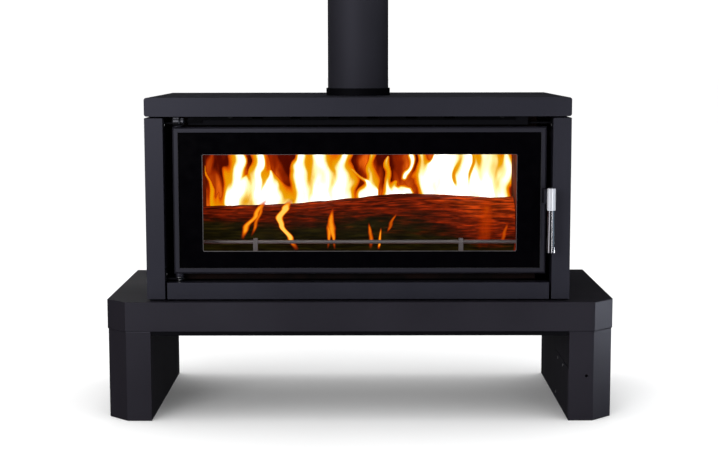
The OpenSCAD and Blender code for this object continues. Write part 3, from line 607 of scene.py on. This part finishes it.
def ember_finish():
    material, tree, shader = start_material("ember_glow", Roughness=0.95)
    place = add(tree, "TexCoord")
    cells = add(tree, "TexVoronoi", {"Scale": 42.0}, feature="DISTANCE_TO_EDGE")
    join(tree, place.outputs["Object"], cells.inputs["Vector"])
    gap = cells.outputs["Distance"]
    ash = speckle(tree, 60.0, detail=4.0)
    join(tree, ramp(tree, ash, [(0.4, (0.006, 0.005, 0.004)), (0.75, (0.10, 0.09, 0.08))]),
         shader.inputs["Base Color"])
    join(tree, ramp(tree, gap, [(0.0, (1.0, 0.25, 0.02)), (0.5, (0.02, 0.002, 0.0)),
                                (0.1, (0.7, 0.06, 0.004)), (0.25, (0.10, 0.008, 0.0))]),
         shader.inputs["Emission Color"])
    heat = speckle(tree, 5.0, detail=2.0)
    join(tree, calculate(tree, "MULTIPLY", calculate(tree, "POWER", heat, 2.0), 2.0),
         shader.inputs["Emission Strength"])
    return material


bed = ember_bed("glowing_embers", low("ember_bed"), high("ember_bed"))
place_piece(bed, ember_finish(), "stove", "embers", "ember_bed")

# %% [markdown]
# ## Flames
# A flame is bright gas with no surface. Here the fire is drawn on thin upright sheets of fine mesh, and
# every point of a sheet carries a heat between 0 and 1. The material turns heat into light: nothing,
# then dark red, orange, yellow and white. Tongues add heat, hollows take it away, and a noise that is
# stretched upwards bends all the outlines so that they lick and curl.

# %% Heat of one tongue
def tongue_heat(x, z, foot, tip, half):
    part = (z - foot[1]) / (tip[1] - foot[1])
    if part > 1:
        return 0.0
    part = max(part, 0.0)
    middle = foot[0] + (tip[0] - foot[0]) * part ** 1.3
    reach = 1.2 * half * (1 - part) ** 0.5
    inside = 1 - ((x - middle) / max(reach, 0.0005)) ** 2
    return max(0.0, inside) ** 1.4 * (1 - 0.3 * part)


# %% [markdown]
# The heat of the whole fire is the union of its tongues, less the hollows. Two sizes of noise shift the
# place that is looked up: a slow one sways whole tongues, and a quick one frays their edges.

# %% Heat of the whole fire
def fire_heat(x, z, tongues, hollows, seed, coolest):
    sway = noise.noise(Vector((x * 15, z * 19 + seed, seed))) * 0.018
    fray = noise.noise(Vector((x * 55, z * 30, seed + 5))) * 0.0065
    lift = noise.noise(Vector((x * 38, z * 13, seed + 9))) * 0.016
    x_bent = x + sway + fray
    z_bent = z + lift
    cold = 1.0
    for foot, tip, half in tongues:
        cold *= 1 - 0.95 * tongue_heat(x_bent, z_bent, foot, tip, half)
    heat = 1 - cold
    for middle, wide, tall, depth in hollows:
        far = ((x_bent - middle[0]) / wide) ** 2 + ((z_bent - middle[1]) / tall) ** 2
        heat -= depth * math.exp(-far * far)
    streak = noise.noise(Vector((x_bent * 48, z_bent * 11, seed + 2)))
    blotch = noise.noise(Vector((x_bent * 20, z_bent * 16, seed + 4)))
    return max(coolest, heat + 0.34 * streak * min(1.0, heat * 2) + 0.16 * blotch)


# %% [markdown]
# Sheets and ribbons are both woven from a grid of points with heats. The heat is stored where a texture
# place would be, as the first number of the pair, because every shader can read it from there.

# %% Weave a grid of hot points
def woven_piece(name, mesh, grid):
    carried = mesh.loops.layers.uv.new("heat")
    for near, far in zip(grid, grid[1:]):
        for j in range(len(near) - 1):
            corners = (near[j], far[j], far[j + 1], near[j + 1])
            if max(heat for _, heat in corners) > 0.01:
                face = mesh.faces.new([point for point, _ in corners])
                face.smooth = True
                for loop, (_, heat) in zip(face.loops, corners):
                    loop[carried].uv = (heat, 0)
    loose = [point for point in mesh.verts if not point.link_faces]
    bmesh.ops.delete(mesh, geom=loose, context="VERTS")
    return object_from(name, mesh)


# %% [markdown]
# A sheet is a grid in the X-Z plane. It is pushed a little forwards and back, so that from the side it
# reads as a wavy curtain. Faces with no heat at their corners are left out.

# %% Flame sheet
def flame_sheet(name, y, corner, far, tongues, hollows, seed, coolest, columns=300, rows=90):
    mesh = bmesh.new()
    grid = []
    for i in range(columns + 1):
        x = corner[0] + (far[0] - corner[0]) * i / columns
        grid.append([])
        for j in range(rows + 1):
            z = corner[1] + (far[1] - corner[1]) * j / rows
            depth = 0.012 * noise.noise(Vector((x * 10, z * 7, seed)))
            heat = fire_heat(x, z, tongues, hollows, seed, coolest)
            grid[-1].append((mesh.verts.new((x, y + depth, z)), heat))
    return woven_piece(name, mesh, grid)


# %% [markdown]
# The flame material reads the heat that the mesh carries. Its light grows with heat, and so does its
# cover, so that a cool edge is half clear.

# %% Flame material
def flame_finish(name, stops, strength, thin, fleck):
    material, tree, shader = start_material(name, Roughness=1.0)
    shader.inputs["Base Color"].default_value = (0, 0, 0, 1)
    shader.inputs["Specular IOR Level"].default_value = 0.0
    carried = add(tree, "UVMap", uv_map="heat")
    split = add(tree, "SeparateXYZ")
    join(tree, carried.outputs[0], split.inputs[0])
    wisp = calculate(tree, "SUBTRACT", speckle(tree, 48.0, (1.0, 1.0, 0.35), 3.0, 0.8), 0.5)
    heat = calculate(tree, "ADD", split.outputs["X"], calculate(tree, "MULTIPLY", wisp, fleck))
    join(tree, ramp(tree, heat, stops), shader.inputs["Emission Color"])
    power = add(tree, "MapRange", {"From Min": 0.55, "From Max": 1.0, "To Min": 0.92, "To Max": strength})
    join(tree, heat, power.inputs["Value"])
    join(tree, power.outputs[0], shader.inputs["Emission Strength"])
    cover = add(tree, "MapRange", {"From Min": 0.04, "From Max": 0.04 + thin})
    join(tree, heat, cover.inputs["Value"])
    join(tree, cover.outputs[0], shader.inputs["Alpha"])
    return material


white_hot = [(0.0, (0.35, 0.015, 0.0)), (0.88, (1.0, 0.99, 0.93)), (0.12, (0.60, 0.060, 0.0)),
             (0.24, (0.95, 0.16, 0.0)), (0.38, (1.0, 0.33, 0.0)), (0.54, (1.0, 0.46, 0.003)),
             (0.62, (1.0, 0.74, 0.22)), (0.74, (1.0, 0.91, 0.58))]
orange = [(0.0, (0.20, 0.008, 0.0)), (0.98, (1.0, 0.55, 0.08)), (0.30, (0.60, 0.045, 0.0)),
          (0.55, (0.95, 0.17, 0.001)), (0.80, (1.0, 0.36, 0.010))]
dull_red = [(0.0, (0.035, 0.001, 0.0)), (1.0, (0.90, 0.15, 0.006)), (0.40, (0.10, 0.004, 0.0)),
            (0.66, (0.34, 0.022, 0.0))]

# %% [markdown]
# The main fire stands just behind the crest of the front log. Each tongue is given by its foot, its tip
# and half its width at the foot, and each hollow by its middle, its half sizes and its depth.

# %% Main fire
tongues = [
    ((-0.323, 0.480), (-0.303, 0.665), 0.037), ((-0.300, 0.480), (-0.286, 0.560), 0.030),
    ((-0.253, 0.480), (-0.250, 0.760), 0.037), ((-0.205, 0.480), (-0.225, 0.575), 0.040),
    ((-0.148, 0.480), (-0.150, 0.740), 0.032), ((-0.095, 0.480), (-0.086, 0.800), 0.048),
    ((-0.042, 0.480), (-0.026, 0.700), 0.035), ((0.023, 0.500), (0.032, 0.622), 0.026),
    ((0.033, 0.525), (-0.020, 0.572), 0.012), ((0.076, 0.500), (0.074, 0.612), 0.018),
    ((0.105, 0.500), (0.100, 0.560), 0.030), ((0.124, 0.500), (0.136, 0.670), 0.014),
    ((0.180, 0.500), (0.152, 0.640), 0.030), ((0.228, 0.500), (0.228, 0.780), 0.050),
    ((0.283, 0.500), (0.273, 0.760), 0.038), ((0.328, 0.500), (0.318, 0.760), 0.034),
    ((0.370, 0.490), (0.364, 0.720), 0.024), ((0.198, 0.500), (0.190, 0.700), 0.028),
    ((-0.362, 0.480), (-0.388, 0.610), 0.010), ((-0.345, 0.470), (-0.352, 0.525), 0.014),
]
hollows = [
    ((-0.287, 0.590), 0.007, 0.034, 0.45), ((-0.358, 0.520), 0.030, 0.090, 0.50),
    ((-0.190, 0.592), 0.024, 0.036, 1.0), ((0.004, 0.600), 0.018, 0.022, 0.8),
    ((0.054, 0.600), 0.013, 0.026, 0.9), ((0.100, 0.600), 0.010, 0.034, 0.8),
    ((0.128, 0.545), 0.022, 0.012, 0.7), ((0.186, 0.612), 0.010, 0.022, 0.7),
    ((0.288, 0.590), 0.005, 0.040, 0.4), ((0.055, 0.560), 0.070, 0.050, 0.16),
    ((-0.235, 0.560), 0.006, 0.050, 0.25), ((0.245, 0.560), 0.007, 0.030, 0.35),
]
behind_log = 0.030
sheet_gap = 0.001
fire_top = 0.650
main_fire_low = 0.455
fire_y = (front_low.y + front_high.y) / 2 + behind_log
main_fire = flame_sheet("main_fire", fire_y, (fire_left + sheet_gap, main_fire_low),
                        (fire_right - sheet_gap, fire_top), tongues, hollows, seed=3.0, coolest=0.0)
place_piece(main_fire, flame_finish("main_fire_light", white_hot, 2.6, 0.08, 0.18), "stove", "embers")
print("main fire has", len(main_fire.data.polygons), "faces")

# %% [markdown]
# A second, cooler curtain stands close behind the first. It fills the hollows of the first one with deep red
# and a few orange streaks. Its heat never falls below a set floor, so the whole sheet glows deep red as
# painted firelight on the back of the firebox.

# %% Back curtain
back_tongues = [((x / 100, 0.400), (x / 100 + random.uniform(-0.02, 0.02), random.uniform(0.60, 0.78)),
                 random.uniform(0.04, 0.07)) for x in range(-36, 37, 8)]
behind_main = 0.024
back_fire_low = 0.440
# Painted firelight: this sheet never cools below deep red, so it glows across the whole back of the fire.
back_flames_and_firelight = flame_sheet("back_flames_and_firelight", fire_y + behind_main, (fire_left + sheet_gap, back_fire_low),
                        (fire_right - sheet_gap, fire_top), back_tongues, [], seed=11.0, coolest=0.36,
                        columns=200, rows=70)
place_piece(back_flames_and_firelight, flame_finish("back_fire_light", dull_red, 1.2, 0.05, 0.45), "stove", "embers")

# %% [markdown]
# Thin tongues climb in front of the log from the embers below it. Each one is a ribbon that follows a
# short path of places and widths; it is hottest along its middle and fades at both ends.

# %% Ribbon of flame
def flame_ribbon(name, y, path, power=1.0, steps=14, columns=8):
    mesh = bmesh.new()
    grid = []
    spans = len(path) - 1
    for i in range(spans * steps + 1):
        span = min(i // steps, spans - 1)
        part = i / steps - span
        ease = part * part * (3 - 2 * part)
        x, z, width = ((1 - mix) * a + mix * b for a, b, mix in
                       zip(path[span], path[span + 1], (ease, part, part)))
        along = i / (spans * steps)
        ends = min(1.0, 4 * along, 5 * (1 - along))
        grid.append([])
        for j in range(columns + 1):
            across = 2 * j / columns - 1
            curl = 0.004 * math.sin(9 * along + 30 * path[0][0])
            edge = 1 - across * across
            point = mesh.verts.new((x + across * width / 2, y - 0.4 * width * edge + curl, z))
            grid[-1].append((point, power * ends * edge))
    return woven_piece(name, mesh, grid)


# %% [markdown]
# The ribbons are listed from left to right. A path runs from its foot to its tip, and every step gives
# the place across, the height and the width.

# %% Ribbons in front of the log
ribbon_y = front_low.y - 0.014
ribbons = [
    (0.82, [(-0.284, 0.412, 0.008), (-0.276, 0.442, 0.020), (-0.250, 0.474, 0.018), (-0.228, 0.516, 0.016)]),
    (0.60, [(-0.262, 0.416, 0.006), (-0.252, 0.450, 0.012), (-0.238, 0.486, 0.012), (-0.224, 0.518, 0.012)]),
    (1.3, [(-0.152, 0.384, 0.016), (-0.166, 0.415, 0.018), (-0.188, 0.448, 0.016), (-0.194, 0.466, 0.022),
           (-0.178, 0.490, 0.024), (-0.162, 0.516, 0.018)]),
    (0.72, [(-0.075, 0.386, 0.006), (-0.072, 0.412, 0.009), (-0.070, 0.440, 0.020), (-0.066, 0.464, 0.016),
           (-0.062, 0.496, 0.003)]),
    (0.76, [(-0.058, 0.386, 0.006), (-0.060, 0.412, 0.009), (-0.065, 0.440, 0.024), (-0.067, 0.460, 0.018),
           (-0.062, 0.494, 0.004)]),
    (0.62, [(0.030, 0.384, 0.010), (0.032, 0.415, 0.014), (0.029, 0.432, 0.011), (0.026, 0.456, 0.003)]),
    (0.80, [(0.050, 0.386, 0.007), (0.053, 0.410, 0.009), (0.056, 0.444, 0.003)]),
    (0.5, [(0.072, 0.428, 0.006), (0.080, 0.450, 0.013), (0.094, 0.480, 0.004)]),
    (0.45, [(0.352, 0.400, 0.012), (0.358, 0.425, 0.015), (0.366, 0.455, 0.006)]),
    (0.32, [(0.306, 0.388, 0.034), (0.310, 0.430, 0.050), (0.312, 0.470, 0.046), (0.316, 0.522, 0.030)]),
]
ribbon_light = flame_finish("ribbon_light", orange, 1.35, 0.6, 0.3)
for number, (power, path) in enumerate(ribbons):
    ribbon = flame_ribbon(f"flame_ribbon_{number:02d}", ribbon_y, path, power)
    place_piece(ribbon, ribbon_light, "stove", "embers")
print("ribbons", len(ribbons))

# %% [markdown]
# ## Light, floor and camera
# The stove stands on a plain pale floor in a white studio. Black paint shows whatever light it mirrors,
# so the white surround is made very dim for mirrored rays, and soft panels are placed where light and
# reflections are wanted.

# %% Surround and floor
world = bpy.data.worlds.new("studio")
bpy.context.scene.world = world
world.use_nodes = True
tree = world.node_tree
tree.nodes.clear()
seen_strength = 1.14
mirrored_strength = 0.025
rays = add(tree, "LightPath")
bright = add(tree, "Background", {"Color": (1, 1, 1, 1), "Strength": seen_strength})
dim = add(tree, "Background", {"Color": (0.92, 0.92, 1, 1), "Strength": mirrored_strength})
mix = add(tree, "MixShader")
sky = add(tree, "OutputWorld")
join(tree, rays.outputs["Is Glossy Ray"], mix.inputs[0])
join(tree, bright.outputs[0], mix.inputs[1])
join(tree, dim.outputs[0], mix.inputs[2])
join(tree, mix.outputs[0], sky.inputs["Surface"])

floor_mesh = bmesh.new()
bmesh.ops.create_grid(floor_mesh, x_segments=4, y_segments=4, size=60)
floor = object_from("floor", floor_mesh)
floor_finish, tree, shader = start_material("pale_floor", Roughness=0.9)
shader.inputs["Specular IOR Level"].default_value = 0.1
join(tree, ramp(tree, speckle(tree, 2.0), [(0.3, (0.93,) * 3), (0.7, (0.95,) * 3)]),
     shader.inputs["Base Color"])
join(tree, ramp(tree, speckle(tree, 5.0), [(0.3, (0.85,) * 3), (0.7, (0.95,) * 3)]),
     shader.inputs["Roughness"])
roughen(tree, shader, speckle(tree, 250.0), 0.02, 0.0003)
floor.data.materials.append(floor_finish)
floor.visible_glossy = False

# %% [markdown]
# A soft panel is a rectangle of even light that is turned to face what it lights. The high ones model the
# sheet metal from the left, the front and above, and stand too high to be mirrored in the glass. The low ones
# catch the cut corners and inner sides of the legs, and with the narrow strip they draw thin lines in the
# chrome. A long, low one behind grazes the top of the lid.

# %% Soft panels
def soft_panel(name, place, aim, size, power, tint=(1, 1, 1)):
    data = bpy.data.lights.new(name, "AREA")
    data.shape = "RECTANGLE"
    data.size, data.size_y = size
    data.energy = power
    data.color = tint
    lamp = bpy.data.objects.new(name, data)
    lamp.location = place
    lamp.rotation_euler = (Vector(aim) - Vector(place)).to_track_quat("-Z", "Y").to_euler()
    lamp.visible_camera = False
    bpy.context.collection.objects.link(lamp)


front = Vector((-0.4, -0.25, 0.6))
handle_place = Vector((0.45, -0.28, 0.47))
soft_panel("front_left", (-2.6, -5.6, 1.95), front, (2.4, 1.8), 125)
soft_panel("front_screen", (0.6, -7.0, 3.0), (0.1, -0.25, 0.5), (6.0, 1.8), 4)
soft_panel("right_low", (1.75, -0.05, 0.13), (0.55, -0.05, 0.12), (0.8, 0.22), 3.0, (0.90, 0.95, 1))
soft_panel("right_far", (3.2, -1.2, 0.9), handle_place, (1.8, 1.6), 2.6, (0.60, 0.82, 1))
soft_panel("left_low", (-1.7, -1.3, 0.22), (0.50, 0.0, 0.12), (0.8, 0.36), 0.9, (1, 0.95, 0.97))
soft_panel("overhead", (-0.3, 0.4, 3.4), (0, 0, 0.5), (3.0, 2.0), 26)
soft_panel("strip_right", (0.90, -1.45, 0.50), handle_place, (0.09, 0.8), 1.2)
soft_panel("back_left", (-1.9, 5.0, 0.72), (-0.3, 0.2, 0.72), (2.6, 0.34), 4.0)

# %% [markdown]
# The camera stands a good three and a half metres in front, a little above the lid, and looks slightly
# down, so the lid and bench show only a sliver of their tops.

# %% Camera
lens_pitch = math.radians(6.66)
lens_yaw = -0.002
lens_roll = 0.0015
lens_length = 75.48
camera_side = 0.0105
camera_distance = 3.528
camera_height = 0.858
camera_data = bpy.data.cameras.new("camera")
camera_data.sensor_width = 36
camera_data.lens = lens_length
camera = bpy.data.objects.new("camera", camera_data)
turn = Euler((math.pi / 2 - lens_pitch, 0, -lens_yaw)).to_matrix() @ Matrix.Rotation(-lens_roll, 3, "Z")
camera_place = (camera_side, stove_front - camera_distance, camera_height)
camera.matrix_world = Matrix.Translation(camera_place) @ turn.to_4x4()
bpy.context.collection.objects.link(camera)
bpy.context.scene.camera = camera
bpy.context.scene.view_settings.view_transform = "Standard"
bpy.context.scene.cycles.transparent_max_bounces = 32

# %% [markdown]
# ## Bring the scene up to date
# The view layer is updated once more.

# %% Update the view layer
bpy.context.view_layer.update()
